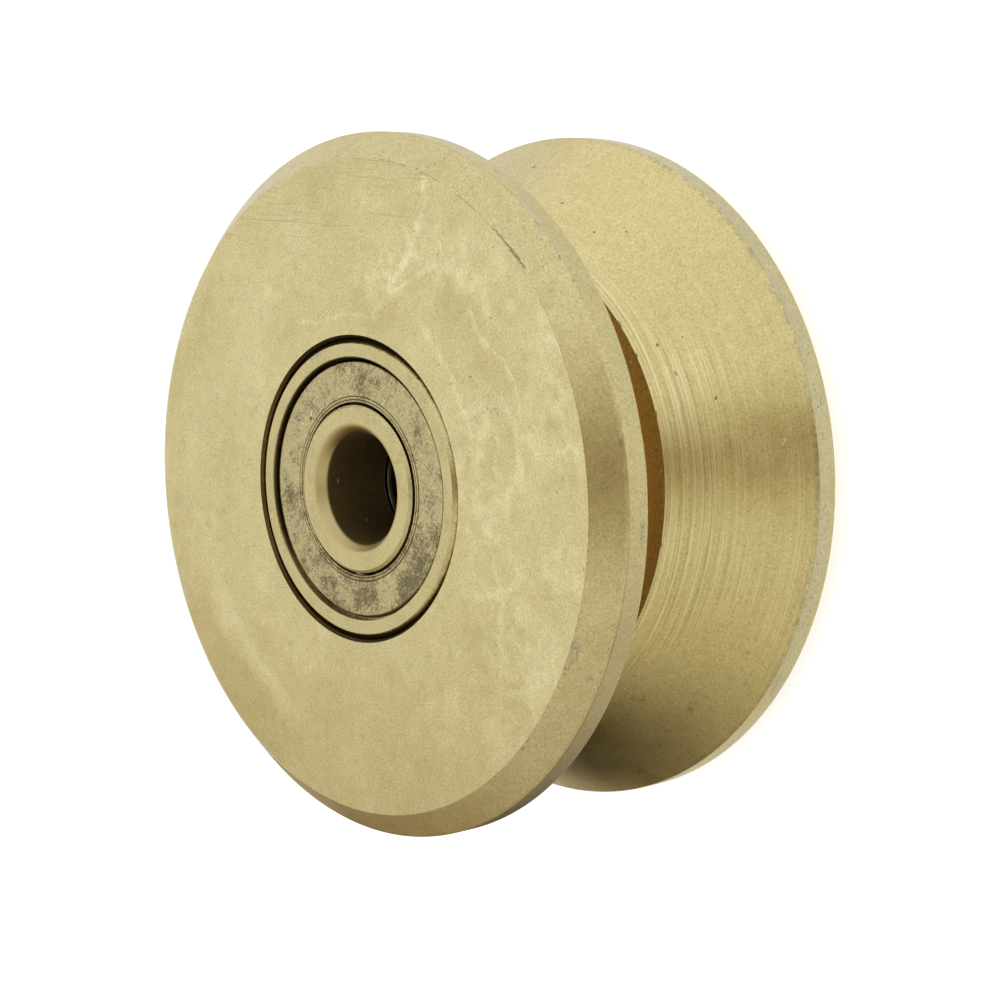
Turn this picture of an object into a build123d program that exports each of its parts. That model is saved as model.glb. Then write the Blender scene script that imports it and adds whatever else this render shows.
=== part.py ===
from build123d import *

import os
from math import cos, pi, radians, sin, tan

# V-groove wheel of a sliding gate, turned from one piece of steel, which runs on two
# shielded ball bearings around a spacer tube. It stands on its back face. The origin
# lies on the axis, half-way between the faces, and +Z points out of the front face.
# Sizes are in millimetres.

# Wheel body
rim_diameter = 75.0
wheel_width = 36.5
rim_bevel = 2.8
rim_land = 2.5
groove_angle = 90.0
slot_width = 3.3
slot_depth = 2.5
pocket_shoulder = 2.5
pocket_clearance = 0.02
pocket_edge_break = 0.3
bearing_recess = 0.05

# Bearings, metric size 6201
bore_diameter = 12.0
bearing_diameter = 32.0
bearing_width = 10.0
outer_ring_chamfer = 0.6
bore_chamfer = 0.8
inner_ring_chamfer = 0.3

# Balls and the raceways that they run in
ball_count = 7
ball_share = 0.596
ball_play = 0.04
raceway_ratio = 0.52
raceway_depth = 0.95

# Shields, one on each side of a bearing
shield_thickness = 0.3
shield_depth = 0.4
shield_gap = 0.27
shield_bead_width = 0.7
shield_bead_height = 0.1
shield_seat_step = 0.88
shield_seat_depth = 1.5
shield_face_setback = 0.5
shield_foot_height = 0.95
shield_foot_grip = 0.15
shield_groove_clearance = 0.05

# Moulded cage, open on one side so that the balls snap in between its horns
cage_shield_gap = 0.3
cage_pocket_clearance = 0.08
cage_ring_gap = 0.35
cage_horn_height = 1.6
cage_horn_thickness = 0.8
cage_horn_length = 2.0

# Spacer tube between the inner rings
spacer_bore_clearance = 0.15
spacer_wall = 1.85
spacer_chamfer = 0.3

# Places that follow from the sizes
half_width = wheel_width / 2
rim_radius = rim_diameter / 2
bore_radius = bore_diameter / 2
bearing_radius = bearing_diameter / 2
bearing_centre = half_width - bearing_recess - bearing_width / 2
spacer_half_length = bearing_centre - bearing_width / 2
pitch_radius = (bore_radius + bearing_radius) / 2
ball_radius = ball_share * (bearing_radius - bore_radius) / 2
raceway_radius = raceway_ratio * 2 * ball_radius
inner_raceway_bottom = pitch_radius - ball_radius - ball_play
outer_raceway_bottom = pitch_radius + ball_radius + ball_play
inner_shoulder_radius = inner_raceway_bottom + raceway_depth
outer_shoulder_radius = outer_raceway_bottom - raceway_depth
shield_seat_radius = outer_shoulder_radius + shield_seat_step
shield_foot_radius = shield_seat_radius + shield_foot_grip
sides = {"front": 1, "back": -1}

os.makedirs("parts", exist_ok=True)


def save(builder, label):
    """Label a finished piece and write it to its own file."""
    builder.part.label = label
    export_step(builder.part, f"parts/{label}.step")


def section_plane(height, facing):
    """Plane of a turned section: x is the radius, y runs along the axis towards facing."""
    return Plane(origin=(0, 0, height), x_dir=(1, 0, 0), z_dir=(0, -facing, 0))


def ring_plane(height, facing):
    """Plane across the axis at a height, which looks towards facing."""
    return Plane(origin=(0, 0, height), x_dir=(1, 0, 0), z_dir=(0, 0, facing))


def build_wheel_body():
    """Turned body: bevelled flanges, V groove with a relief slot, stepped bore for the bearings."""
    pocket_radius = bearing_radius + pocket_clearance
    groove_half_width = half_width - rim_bevel - rim_land
    groove_depth = (groove_half_width - slot_width / 2) / tan(radians(groove_angle / 2))
    slot_mouth_radius = rim_radius - groove_depth
    slot_floor_radius = slot_mouth_radius - slot_depth
    shoulder_bore_radius = bearing_radius - pocket_shoulder
    with BuildPart() as wheel_body:
        with BuildSketch(section_plane(0, 1)):
            with BuildLine():
                Polyline(
                    (shoulder_bore_radius, 0),
                    (shoulder_bore_radius, spacer_half_length),
                    (pocket_radius, spacer_half_length),
                    (pocket_radius, half_width - pocket_edge_break),
                    (pocket_radius + pocket_edge_break, half_width),
                    (rim_radius - rim_bevel, half_width),
                    (rim_radius, half_width - rim_bevel),
                    (rim_radius, groove_half_width),
                    (slot_mouth_radius, slot_width / 2),
                    (slot_floor_radius, slot_width / 2),
                    (slot_floor_radius, 0),
                )
                mirror(about=Plane.XZ)
            make_face()
        revolve(axis=Axis.Z)
    save(wheel_body, "wheel_body")


def build_spacer_tube():
    """Tube that holds the two inner rings apart when the axle bolt is tightened."""
    inner_radius = bore_radius + spacer_bore_clearance
    with BuildPart() as spacer:
        Cylinder(inner_radius + spacer_wall, 2 * spacer_half_length)
        Cylinder(inner_radius, 2 * spacer_half_length, mode=Mode.SUBTRACT)
        chamfer(spacer.edges().filter_by(GeomType.CIRCLE), spacer_chamfer)
    save(spacer, "spacer_tube")


def build_outer_ring(label, height):
    """Outer ring: ball raceway in the middle, and a seat with a groove for each shield."""
    raceway_centre = outer_raceway_bottom - raceway_radius
    groove_radius = shield_foot_radius + shield_groove_clearance
    groove_top = bearing_width / 2 - shield_foot_height
    groove_height = shield_thickness + 2 * shield_groove_clearance
    with BuildPart() as ring:
        with BuildSketch(section_plane(height, 1)) as section:
            with Locations(((outer_shoulder_radius + bearing_radius) / 2, 0)):
                Rectangle(bearing_radius - outer_shoulder_radius, bearing_width)
            chamfer(section.vertices().group_by(Axis.X)[-1], outer_ring_chamfer)
            with Locations((raceway_centre, 0)):
                Circle(raceway_radius, mode=Mode.SUBTRACT)
            for side in sides.values():
                seat_middle = side * (bearing_width - shield_seat_depth) / 2
                groove_middle = side * (groove_top + shield_groove_clearance - groove_height / 2)
                with Locations((shield_seat_radius / 2, seat_middle)):
                    Rectangle(shield_seat_radius, shield_seat_depth, mode=Mode.SUBTRACT)
                with Locations((groove_radius / 2, groove_middle)):
                    Rectangle(groove_radius, groove_height, mode=Mode.SUBTRACT)
        revolve(axis=Axis.Z)
    save(ring, label)


def build_inner_ring(label, height):
    """Inner ring: bore for the axle, ball raceway outside, chamfered corners."""
    raceway_centre = inner_raceway_bottom + raceway_radius
    with BuildPart() as ring:
        with BuildSketch(section_plane(height, 1)) as section:
            with Locations(((bore_radius + inner_shoulder_radius) / 2, 0)):
                Rectangle(inner_shoulder_radius - bore_radius, bearing_width)
            chamfer(section.vertices().group_by(Axis.X)[0], bore_chamfer)
            chamfer(section.vertices().group_by(Axis.X)[-1], inner_ring_chamfer)
            with Locations((raceway_centre, 0)):
                Circle(raceway_radius, mode=Mode.SUBTRACT)
        revolve(axis=Axis.Z)
    save(ring, label)


def build_shield(label, height, facing):
    """Pressed sheet shield: beaded inner edge, flat face, and a foot snapped into the outer ring."""
    face_height = bearing_width / 2 - shield_depth
    foot_top = bearing_width / 2 - shield_foot_height
    face_radius = shield_seat_radius - shield_face_setback
    lip_radius = inner_shoulder_radius + shield_gap
    bead_radius = lip_radius + shield_bead_width
    bead_middle = (lip_radius + bead_radius) / 2
    with BuildPart() as shield:
        with BuildSketch(section_plane(height, facing)):
            with BuildLine():
                Polyline(
                    (bead_radius, face_height),
                    (face_radius, face_height),
                    (face_radius + shield_thickness, foot_top),
                    (shield_foot_radius, foot_top),
                    (shield_foot_radius, foot_top - shield_thickness),
                    (face_radius, foot_top - shield_thickness),
                    (face_radius - shield_thickness, face_height - shield_thickness),
                    (lip_radius, face_height - shield_thickness),
                    (lip_radius, face_height),
                )
                ThreePointArc(
                    (lip_radius, face_height),
                    (bead_middle, face_height + shield_bead_height),
                    (bead_radius, face_height),
                )
            make_face()
        revolve(axis=Axis.Z)
    save(shield, label)


def build_cage(label, height, facing):
    """Moulded cage: a band with a round pocket and two horns for each ball, open towards facing."""
    floor_depth = bearing_width / 2 - shield_depth - shield_thickness - cage_shield_gap
    pocket_radius = ball_radius + cage_pocket_clearance
    web_width = 2 * pitch_radius * sin(pi / ball_count) - 2 * pocket_radius
    notch_size = (outer_shoulder_radius - inner_shoulder_radius, web_width - 2 * cage_horn_thickness)
    with BuildPart(ring_plane(height, facing)) as cage:
        with BuildSketch(ring_plane(height - facing * floor_depth, facing)):
            Circle(outer_shoulder_radius - cage_ring_gap)
            Circle(inner_shoulder_radius + cage_ring_gap, mode=Mode.SUBTRACT)
        extrude(amount=floor_depth + cage_horn_height)
        with PolarLocations(pitch_radius, ball_count):
            Sphere(pocket_radius, mode=Mode.SUBTRACT)
        with BuildSketch(ring_plane(height + facing * cage_horn_height, facing)):
            with PolarLocations(pitch_radius, ball_count, start_angle=180 / ball_count):
                Rectangle(*notch_size)
        extrude(amount=-cage_horn_length, mode=Mode.SUBTRACT)
    save(cage, label)


def build_ball(label, height, angle):
    """One ball, midway between the raceways."""
    centre = (pitch_radius * cos(angle), pitch_radius * sin(angle), height)
    with BuildPart(Plane(origin=centre)) as ball:
        Sphere(ball_radius)
    save(ball, label)


build_wheel_body()
build_spacer_tube()
for name, side in sides.items():
    height = side * bearing_centre
    build_outer_ring(f"{name}_outer_ring", height)
    build_inner_ring(f"{name}_inner_ring", height)
    build_shield(f"{name}_outside_shield", height, side)
    build_shield(f"{name}_inside_shield", height, -side)
    build_cage(f"{name}_cage", height, side)
    for number in range(ball_count):
        build_ball(f"{name}_ball_{number + 1}", height, radians(360 * number / ball_count))
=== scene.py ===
"""Gate wheel of a sliding gate: a turned V-groove wheel on two shielded ball bearings."""

import math

import bpy
import numpy as np
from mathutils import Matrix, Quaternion, Vector


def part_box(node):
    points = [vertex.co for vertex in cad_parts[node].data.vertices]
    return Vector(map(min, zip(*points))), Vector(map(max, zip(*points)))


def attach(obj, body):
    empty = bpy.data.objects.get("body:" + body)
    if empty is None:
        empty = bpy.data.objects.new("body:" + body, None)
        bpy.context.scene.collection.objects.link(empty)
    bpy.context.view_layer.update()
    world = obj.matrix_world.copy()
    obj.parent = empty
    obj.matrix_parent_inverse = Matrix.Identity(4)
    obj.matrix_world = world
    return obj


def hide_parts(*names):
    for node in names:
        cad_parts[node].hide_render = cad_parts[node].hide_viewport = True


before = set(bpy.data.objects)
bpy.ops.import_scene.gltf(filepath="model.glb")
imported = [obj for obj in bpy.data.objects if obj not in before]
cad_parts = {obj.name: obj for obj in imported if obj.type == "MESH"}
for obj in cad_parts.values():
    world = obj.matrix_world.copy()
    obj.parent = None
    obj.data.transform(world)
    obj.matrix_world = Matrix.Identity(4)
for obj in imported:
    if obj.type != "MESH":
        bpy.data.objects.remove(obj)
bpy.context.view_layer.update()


# Camera
# The wheel is seen from in front and from the right of its face, at about 43 degrees above
# the face's plane. It stands on its back face here, so the camera is rolled onto its side.
camera_place = Vector((0.0, -0.18985, 0.17336))
camera_target = Vector((-0.00283, -0.00123, -0.00132))
camera_roll = math.radians(-96.482)
camera_data = bpy.data.cameras.new("camera")
camera_data.lens = 83.28
camera_data.sensor_width = 36.0
camera_data.clip_start = 0.01
camera_data.clip_end = 50.0
camera = bpy.data.objects.new("camera", camera_data)
bpy.context.scene.collection.objects.link(camera)
camera.location = camera_place
camera.rotation_mode = "QUATERNION"
towards_target = (camera_target - camera_place).to_track_quat("-Z", "Y")
camera.rotation_quaternion = towards_target @ Quaternion((0, 0, 1), camera_roll)
bpy.context.scene.camera = camera


# Wheel body
# Turned from one steel blank: two bevelled flanges, a 90 degree V groove with a parted-off
# relief slot, and a pocket in each face. It is plated pale gold over the turning marks, and
# its rims carry the nicks and rubbed spots of handling.
wheel_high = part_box("wheel_body")[1]
ring_low, ring_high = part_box("front_outer_ring")
rim_radius = wheel_high.x
half_width = wheel_high.z
rim_bevel = 0.0028
rim_land = 0.0025
slot_half_width = 0.00165
slot_depth = 0.0025
pocket_radius = ring_high.x + 0.00002
pocket_floor = ring_low.z
pocket_edge_break = 0.0003
shoulder_bore_radius = ring_high.x - 0.0025
groove_half_width = half_width - rim_bevel - rim_land
slot_mouth_radius = rim_radius - (groove_half_width - slot_half_width)
slot_floor_radius = slot_mouth_radius - slot_depth
crisp = 0.00012
worn = 0.0002
fine = 0.00005


def rounded_outline(corners, step, arc_points=4):
    """Closed outline of a turned piece, from corners (radius, height, rounding, finish of the next run).

    An arc replaces each corner. It starts and ends at rounding * tan(turn / 2) from the corner, and
    its points are its centre plus the start's offset, turned by equal shares of the turn. A straight
    run gets points at equal steps, and one near each end that keeps the flat shading up to the edge.
    """
    points, finishes = [], []
    count = len(corners)
    arcs = []
    for place in range(count):
        before = np.array(corners[place - 1][:2])
        corner = np.array(corners[place][:2])
        after = np.array(corners[(place + 1) % count][:2])
        rounding = corners[place][2]
        way_in = (corner - before) / np.linalg.norm(corner - before)
        way_out = (after - corner) / np.linalg.norm(after - corner)
        turn = math.atan2(way_in[0] * way_out[1] - way_in[1] * way_out[0], way_in @ way_out)
        start = corner - way_in * rounding * math.tan(abs(turn) / 2)
        side = math.copysign(1.0, turn)
        spoke = -side * rounding * np.array([-way_in[1], way_in[0]])
        swing = np.linspace(0, turn, arc_points)
        cosine, sine = np.cos(swing)[:, None], np.sin(swing)[:, None]
        turned_spoke = cosine * spoke + sine * np.array([-spoke[1], spoke[0]])
        arcs.append(start - spoke + turned_spoke)
    for place in range(count):
        arc = arcs[place]
        run_start, run_end = arc[-1], arcs[(place + 1) % count][0]
        length = np.linalg.norm(run_end - run_start)
        support = min(0.0001, length * 0.25) / length
        inner = max(int(round(length / step)), 1)
        shares = np.concatenate(([support], np.linspace(0, 1, inner + 1)[1:-1], [1 - support]))
        run = run_start + shares[:, None] * (run_end - run_start)
        points.append(arc)
        points.append(run)
        finishes += [corners[place][3]] * (len(arc) + len(run))
        finishes[-len(arc) - len(run):-len(run) - 1] = [corners[place][3]] * (len(arc) - 1)
    return np.concatenate(points), np.array(finishes)


def new_piece(name, vertices, faces):
    """An object at the origin, with a mesh of these vertices and faces."""
    mesh = bpy.data.meshes.new(name)
    mesh.from_pydata(vertices, [], faces)
    piece = bpy.data.objects.new(name, mesh)
    bpy.context.scene.collection.objects.link(piece)
    return piece


def turned(name, corners, step, angles, materials, dents=()):
    """A piece turned on a lathe: the point at outline place (r, h) and angle a is (r cos a, r sin a, h).

    A dent (angle, radius, height, half length, half width, depth) pushes the skin inwards along the
    outline's normal by depth * exp(-(u / half length)^4 - (v / half width)^2), where u runs round
    the axis and v along the outline.
    """
    outline, finishes = rounded_outline(corners, step)
    following = np.roll(outline, -1, axis=0)
    area = np.sum(outline[:, 0] * following[:, 1] - following[:, 0] * outline[:, 1])
    way = 1.0 if area > 0 else -1.0
    angles = angles if area > 0 else angles[::-1]
    along = following - np.roll(outline, 1, axis=0)
    along /= np.linalg.norm(along, axis=1)[:, None]
    inwards = way * np.stack((-along[:, 1], along[:, 0]), axis=1)
    radius = np.repeat(outline[None, :, 0], len(angles), axis=0)
    height = np.repeat(outline[None, :, 1], len(angles), axis=0)
    for degrees, dent_radius, dent_height, half_length, half_width_of_dent, depth in dents:
        swing = np.angle(np.exp(1j * (angles - math.radians(degrees))))
        round_axis = swing[:, None] * dent_radius
        offset = outline - np.array([dent_radius, dent_height])
        near = np.linalg.norm(offset, axis=1)[None, :]
        push = depth * np.exp(-(round_axis / half_length) ** 4 - (near / half_width_of_dent) ** 2)
        radius = radius + push * inwards[None, :, 0]
        height = height + push * inwards[None, :, 1]
    x = radius * np.cos(angles)[:, None]
    y = radius * np.sin(angles)[:, None]
    vertices = np.stack((x, y, height), axis=-1).reshape(-1, 3)
    rows, columns = len(angles), len(outline)
    row, column = np.meshgrid(np.arange(rows), np.arange(columns), indexing="ij")
    next_row, next_column = (row + 1) % rows, (column + 1) % columns
    faces = np.stack(
        (
            row * columns + column,
            next_row * columns + column,
            next_row * columns + next_column,
            row * columns + next_column,
        ),
        axis=-1,
    ).reshape(-1, 4)
    piece = new_piece(name, vertices.tolist(), faces.tolist())
    piece.data.polygons.foreach_set("material_index", np.tile(finishes, rows))
    piece.data.polygons.foreach_set("use_smooth", np.ones(len(faces), bool))
    for material in materials:
        piece.data.materials.append(material)
    return piece


def fill(tree, socket, value):
    """Give a node's input a link, where the value is a socket, or else the number or colour itself."""
    if isinstance(value, bpy.types.NodeSocket):
        tree.links.new(value, socket)
    elif socket.type == "RGBA":
        socket.default_value = (*value, 1.0)
    else:
        socket.default_value = value


def maths(tree, operation, first, second=0.0, third=0.0):
    """Result of one calculation on numbers."""
    node = tree.nodes.new("ShaderNodeMath")
    node.operation = operation
    for socket, value in zip(node.inputs, (first, second, third)):
        fill(tree, socket, value)
    return node.outputs[0]


def product(tree, *values):
    """All the values multiplied together, from left to right."""
    result = values[0]
    for value in values[1:]:
        result = maths(tree, "MULTIPLY", result, value)
    return result


def off(tree, value, middle):
    """How far a value is from a middle."""
    return maths(tree, "ABSOLUTE", maths(tree, "SUBTRACT", value, middle))


def slide(tree, value, start, end, low=0.0, high=1.0):
    """Smooth slide from low to high while the value goes from start to end."""
    node = tree.nodes.new("ShaderNodeMapRange")
    node.interpolation_type = "SMOOTHSTEP"
    for socket, number in zip(node.inputs, (value, start, end, low, high)):
        fill(tree, socket, number)
    return node.outputs[0]


def tint(tree, share, under, over, kind="MIX"):
    """Colour under, covered by colour over by a share."""
    node = tree.nodes.new("ShaderNodeMix")
    node.data_type = "RGBA"
    node.blend_type = kind
    for place, value in ((0, share), (6, under), (7, over)):
        fill(tree, node.inputs[place], value)
    return node.outputs[2]


def coat(tree, colour, over, *shares):
    """The colour, covered by colour over by the product of the shares."""
    return tint(tree, product(tree, *shares), colour, over)


def toned(tree, colour, factors, *shares):
    """The colour, multiplied by factors by the product of the shares, so that its grain stays."""
    return tint(tree, product(tree, *shares), colour, factors, "MULTIPLY")


def noise(tree, where, size, detail=2.0, rough=0.5, kind="FBM"):
    """Noise between 0 and 1 whose largest lumps are about one size apart."""
    node = tree.nodes.new("ShaderNodeTexNoise")
    node.noise_type = kind
    fill(tree, node.inputs["Vector"], where)
    node.inputs["Scale"].default_value = 1.0 / size
    node.inputs["Detail"].default_value = detail
    node.inputs["Roughness"].default_value = rough
    return node.outputs[0]


def stretched(tree, where, scale, turn=0.0):
    """The place, turned about the wheel's axis, then scaled: a scale under 1 draws a pattern out."""
    node = tree.nodes.new("ShaderNodeMapping")
    node.vector_type = "TEXTURE"
    fill(tree, node.inputs["Vector"], where)
    node.inputs["Rotation"].default_value = (0, 0, turn)
    node.inputs["Scale"].default_value = tuple(1 / part for part in scale)
    return node.outputs[0]


def combined(tree, x, y, z):
    """Three numbers as one vector."""
    node = tree.nodes.new("ShaderNodeCombineXYZ")
    for socket, value in zip(node.inputs, (x, y, z)):
        fill(tree, socket, value)
    return node.outputs[0]


def lathe_place(tree):
    """Object place, distance from the axis, angle round it in degrees, and height."""
    coordinates = tree.nodes.new("ShaderNodeTexCoord")
    place = coordinates.outputs["Object"]
    parts = tree.nodes.new("ShaderNodeSeparateXYZ")
    tree.links.new(place, parts.inputs[0])
    across = product(tree, parts.outputs[0], parts.outputs[0])
    squares = maths(tree, "MULTIPLY_ADD", parts.outputs[1], parts.outputs[1], across)
    radius = maths(tree, "SQRT", squares)
    angle = maths(tree, "ARCTAN2", parts.outputs[1], parts.outputs[0])
    degrees = product(tree, angle, 180 / math.pi)
    return place, radius, degrees, parts.outputs[2]


def rings(tree, place, radius, spacing, sweep, detail=2.0):
    """Turning marks: noise whose lumps lie one spacing apart, and change slowly round the axis.

    The noise is read at (r / spacing, x / r * sweep, y / r * sweep), so a mark fades and comes
    back about sweep times round the wheel.
    """
    parts = tree.nodes.new("ShaderNodeSeparateXYZ")
    tree.links.new(place, parts.inputs[0])
    x = product(tree, maths(tree, "DIVIDE", parts.outputs[0], radius), sweep)
    y = product(tree, maths(tree, "DIVIDE", parts.outputs[1], radius), sweep)
    return noise(tree, combined(tree, maths(tree, "DIVIDE", radius, spacing), x, y), 1.0, detail, 0.6)


def pushed(tree, where, size, amount):
    """The place, pushed about by noise up to half an amount each way, so that a pattern wanders."""
    push = tree.nodes.new("ShaderNodeTexNoise")
    fill(tree, push.inputs["Vector"], where)
    push.inputs["Scale"].default_value = 1.0 / size
    push.inputs["Detail"].default_value = 3.0
    centred = tree.nodes.new("ShaderNodeVectorMath")
    centred.operation = "SUBTRACT"
    tree.links.new(push.outputs["Color"], centred.inputs[0])
    centred.inputs[1].default_value = (0.5, 0.5, 0.5)
    moved = tree.nodes.new("ShaderNodeVectorMath")
    moved.operation = "MULTIPLY_ADD"
    tree.links.new(centred.outputs[0], moved.inputs[0])
    moved.inputs[1].default_value = (amount, amount, amount)
    fill(tree, moved.inputs[2], where)
    return moved.outputs[0]


def spots(tree, place, listed, ragged=0.0004, soft=0.7):
    """Share of the surface that listed marks cover, each an ellipse about a place on the wheel.

    A mark is (angle, radius, height, length, width, turn). The place is moved to its centre,
    turned so that its length lies round the axis, and divided by its half sizes: the mark covers
    the surface fully where that vector is shorter than soft, and fades out until 1.15.
    """
    wandering = pushed(tree, place, ragged, ragged)
    total = 0.0
    for degrees, radius, height, length, width, turn in listed:
        angle = math.radians(degrees)
        node = tree.nodes.new("ShaderNodeMapping")
        node.vector_type = "TEXTURE"
        tree.links.new(wandering, node.inputs["Vector"])
        node.inputs["Location"].default_value = (
            radius * math.cos(angle), radius * math.sin(angle), height
        )
        node.inputs["Rotation"].default_value = (0, 0, angle + math.radians(90 + turn))
        node.inputs["Scale"].default_value = (length / 2, width / 2, width / 2)
        reach = tree.nodes.new("ShaderNodeVectorMath")
        reach.operation = "LENGTH"
        tree.links.new(node.outputs[0], reach.inputs[0])
        total = maths(tree, "MAXIMUM", total, slide(tree, reach.outputs["Value"], 1.15, soft))
    return total


def on_face(height, marks):
    """Marks on a flat face at a height, which are listed as (angle, radius, length, width, turn)."""
    return [(degrees, radius, height, *sizes) for degrees, radius, *sizes in marks]


def network(tree, where, size, width):
    """Share covered by the seams between cells about one size wide; a seam is twice width across."""
    node = tree.nodes.new("ShaderNodeTexVoronoi")
    node.feature = "DISTANCE_TO_EDGE"
    fill(tree, node.inputs["Vector"], where)
    node.inputs["Scale"].default_value = 1.0 / size
    return slide(tree, node.outputs["Distance"], width / size, 0.0)


gold = (0.61, 0.53, 0.265)
pale_gold = (0.73, 0.65, 0.355)
dull_gold = (0.47, 0.385, 0.172)
rubbed_steel = (0.58, 0.55, 0.43)
# Black of the painted shade in the gaps beside the bearing rings.
painted_shade_black = (0.030, 0.018, 0.004)
brighter = (1.20, 1.23, 1.34)
duller = (0.77, 0.73, 0.65)


def new_material(name):
    """A material with nodes, its tree and its shader."""
    material = bpy.data.materials.new(name)
    material.use_nodes = True
    return material, material.node_tree, material.node_tree.nodes["Principled BSDF"]


def satin_metal(name, base):
    """A metal material with a fine grain: its tree, place values, grained colour and grain."""
    material, tree, shader = new_material(name)
    shader.inputs["Metallic"].default_value = 1.0
    place, radius, degrees, height = lathe_place(tree)
    grain = noise(tree, place, 0.00024, 3.0, 0.75)
    mottle = noise(tree, place, 0.0011, 3.0, 0.6)
    lighter = tuple(part * 1.34 for part in base)
    darker = tuple(part * 0.60 for part in base)
    colour = tint(tree, slide(tree, grain, 0.50, 0.74), base, lighter)
    colour = coat(tree, colour, darker, slide(tree, grain, 0.48, 0.26))
    colour = coat(tree, colour, lighter, slide(tree, mottle, 0.52, 0.76, 0.0, 0.30))
    colour = coat(tree, colour, darker, slide(tree, mottle, 0.46, 0.24, 0.0, 0.30))
    return material, tree, (place, radius, degrees, height), colour, grain


def finish(material, colour, relief, roughness):
    """The material, closed with its colour, its roughness and the relief, in metres, of its surface."""
    tree = material.node_tree
    shader = tree.nodes["Principled BSDF"]
    bump = tree.nodes.new("ShaderNodeBump")
    bump.inputs["Strength"].default_value = 1.0
    bump.inputs["Distance"].default_value = 1.0
    fill(tree, bump.inputs["Height"], relief)
    fill(tree, shader.inputs["Base Color"], colour)
    fill(tree, shader.inputs["Roughness"], roughness)
    tree.links.new(bump.outputs[0], shader.inputs["Normal"])
    return material


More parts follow.
